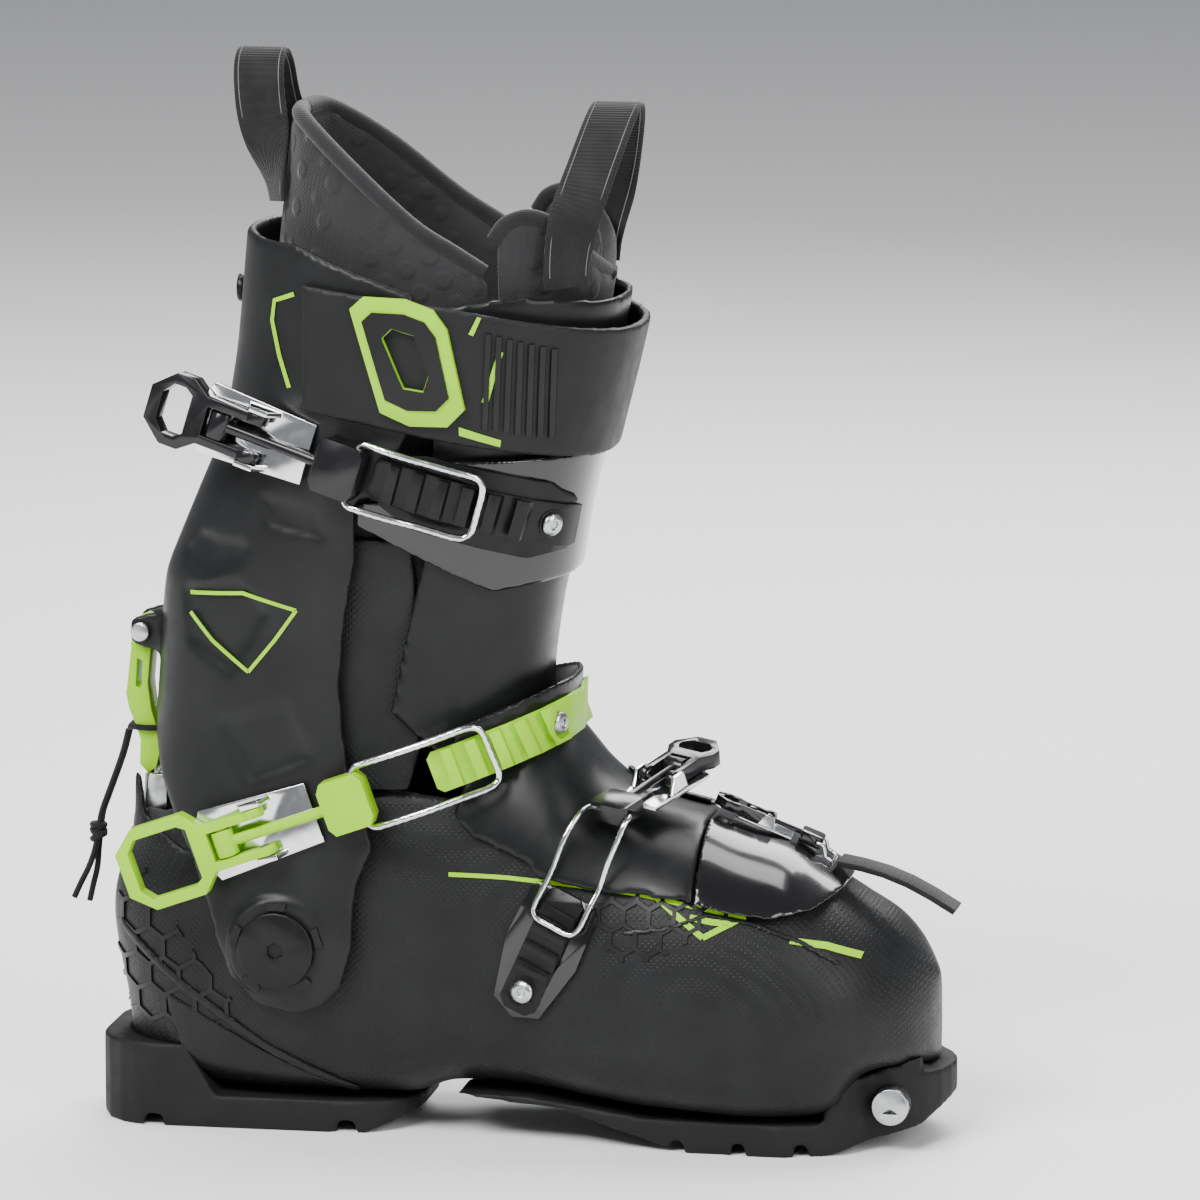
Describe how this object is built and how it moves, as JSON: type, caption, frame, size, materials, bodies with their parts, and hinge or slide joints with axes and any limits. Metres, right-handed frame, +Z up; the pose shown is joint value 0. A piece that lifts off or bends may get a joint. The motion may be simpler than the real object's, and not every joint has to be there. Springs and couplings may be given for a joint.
{
  "type": "alpine touring boot",
  "caption": "Right alpine touring boot: hinged cuff over a clog shell with tongue, latching buckles, strap, padded liner, walk lever and treaded sole.",
  "frame": {"origin": "centre of the heel tread's ground face", "axes": "+Z up, +X towards the toe, +Y towards the inner side of the right foot"},
  "size_m": [0.3223, 0.1274, 0.3839],
  "materials": {
    "shell": "matte moulded plastic with a fine dotted texture",
    "gloss": "polished black plastic",
    "tongue": "satin black plastic",
    "green": "lime green enamel and plastic",
    "chrome": "bright plated steel",
    "steel": "satin steel",
    "rubber": "moulded tread rubber",
    "liner": "padded mesh and knit",
    "webbing": "woven webbing and cord",
    "plastic": "black engineering plastic",
    "lever_alloy": "black anodised alloy"
  },
  "bodies": {
    "shell": {"lower_shell": "shell", "heel_sole": "rubber", "toe_sole": "rubber", "heel_tech_insert": "steel", "toe_tech_insert_lateral": "steel", "toe_tech_insert_medial": "steel", "boot_board": "plastic", "liner_foot": "liner", "tongue_lower": "gloss", "toe_cover": "gloss", "pivot_bolt_lateral": "plastic", "pivot_bolt_medial": "plastic", "walk_catch_bar": "steel", "forefoot_strap": "plastic", "forefoot_buckle_base": "chrome", "forefoot_ladder": "plastic", "forefoot_ladder_plate": "gloss", "forefoot_ladder_screw": "steel", "toe_clip_base": "chrome"},
    "cuff": {"cuff_shell": "shell", "cuff_flap": "gloss", "throat_guard": "shell", "tongue_upper": "tongue", "liner_leg": "liner", "liner_tongue": "liner", "rear_pull_loop": "webbing", "front_pull_loop": "webbing", "power_strap": "webbing", "strap_ring": "green", "cuff_buckle_base": "chrome", "cuff_ladder": "plastic", "cuff_ladder_plate": "plastic", "cuff_ladder_screw": "steel", "instep_buckle_base": "chrome", "instep_strap": "plastic", "instep_rivet": "steel", "instep_ladder": "green", "instep_ladder_screw": "steel", "spoiler_bolt": "plastic", "walk_lever_screw": "steel"},
    "walk_lever": {"walk_lever": "green", "walk_lever_wrap": "webbing", "cord_strand_lateral": "webbing", "cord_strand_medial": "webbing", "cord_knot": "webbing", "cord_tail_lateral": "webbing", "cord_tail_medial": "webbing"},
    "cuff_buckle_lever": {"cuff_buckle_lever": "lever_alloy"},
    "cuff_buckle_link": {"cuff_buckle_adjuster": "lever_alloy", "cuff_buckle_bail": "chrome"},
    "instep_buckle_lever": {"instep_buckle_lever": "green"},
    "instep_buckle_link": {"instep_buckle_adjuster": "green", "instep_buckle_bail": "chrome"},
    "forefoot_buckle_lever": {"forefoot_buckle_lever": "lever_alloy"},
    "forefoot_buckle_link": {"forefoot_buckle_adjuster": "lever_alloy", "forefoot_buckle_bail": "chrome"},
    "toe_clip_lever": {"toe_clip_lever": "gloss"},
    "toe_clip_link": {"toe_clip_adjuster": "gloss", "toe_clip_bail": "chrome", "toe_pull_tab": "webbing"}
  },
  "joints": [
    {"name": "cuff_hinge", "type": "hinge", "parent": "shell", "child": "cuff", "pos_m": [0.037, 0, 0.07], "axis": [0, 1, 0], "range_deg": [-12, 0]},
    {"name": "walk_lever_hinge", "type": "hinge", "parent": "cuff", "child": "walk_lever", "pos_m": [-0.021, 0, 0.1747], "axis": [0, 1, 0], "range_deg": [0, 40]},
    {"name": "cuff_buckle_lever_hinge", "type": "hinge", "parent": "cuff", "child": "cuff_buckle_lever", "pos_m": [0.03012, -0.05543, 0.25307], "axis": [0.2892, 0, 0.9573], "range_deg": [0, 100]},
    {"name": "cuff_buckle_link_hinge", "type": "hinge", "parent": "cuff_buckle_lever", "child": "cuff_buckle_link", "pos_m": [0.01786, -0.05322, 0.25677], "axis": [0.2892, 0, 0.9573], "range_deg": [-100, 0]},
    {"name": "instep_buckle_lever_hinge", "type": "hinge", "parent": "cuff", "child": "instep_buckle_lever", "pos_m": [0.03186, -0.05684, 0.11295], "axis": [-0.3382, 0, 0.9411], "range_deg": [0, 100]},
    {"name": "instep_buckle_link_hinge", "type": "hinge", "parent": "instep_buckle_lever", "child": "instep_buckle_link", "pos_m": [0.01963, -0.05659, 0.10855], "axis": [-0.3382, 0, 0.9411], "range_deg": [-100, 0]},
    {"name": "forefoot_buckle_lever_hinge", "type": "hinge", "parent": "shell", "child": "forefoot_buckle_lever", "pos_m": [0.16785, -0.01634, 0.12956], "axis": [0.9068, -0.4116, -0.0913], "range_deg": [0, 90]},
    {"name": "forefoot_buckle_link_hinge", "type": "hinge", "parent": "forefoot_buckle_lever", "child": "forefoot_buckle_link", "pos_m": [0.17223, -0.00721, 0.1319], "axis": [0.9068, -0.4116, -0.0913], "range_deg": [-90, 0]},
    {"name": "toe_clip_lever_hinge", "type": "hinge", "parent": "shell", "child": "toe_clip_lever", "pos_m": [0.20459, -0.00047, 0.11273], "axis": [-0.0635, 0.998, 0], "range_deg": [0, 80]},
    {"name": "toe_clip_link_hinge", "type": "hinge", "parent": "toe_clip_lever", "child": "toe_clip_link", "pos_m": [0.19857, -0.00085, 0.11515], "axis": [-0.0635, 0.998, 0], "range_deg": [-80, 0]}
  ],
  "couplings": [
    {"joint": "cuff_buckle_link_hinge", "follows": "cuff_buckle_lever_hinge", "ratio": -1},
    {"joint": "instep_buckle_link_hinge", "follows": "instep_buckle_lever_hinge", "ratio": -1},
    {"joint": "forefoot_buckle_link_hinge", "follows": "forefoot_buckle_lever_hinge", "ratio": -1},
    {"joint": "toe_clip_link_hinge", "follows": "toe_clip_lever_hinge", "ratio": -1}
  ]
}
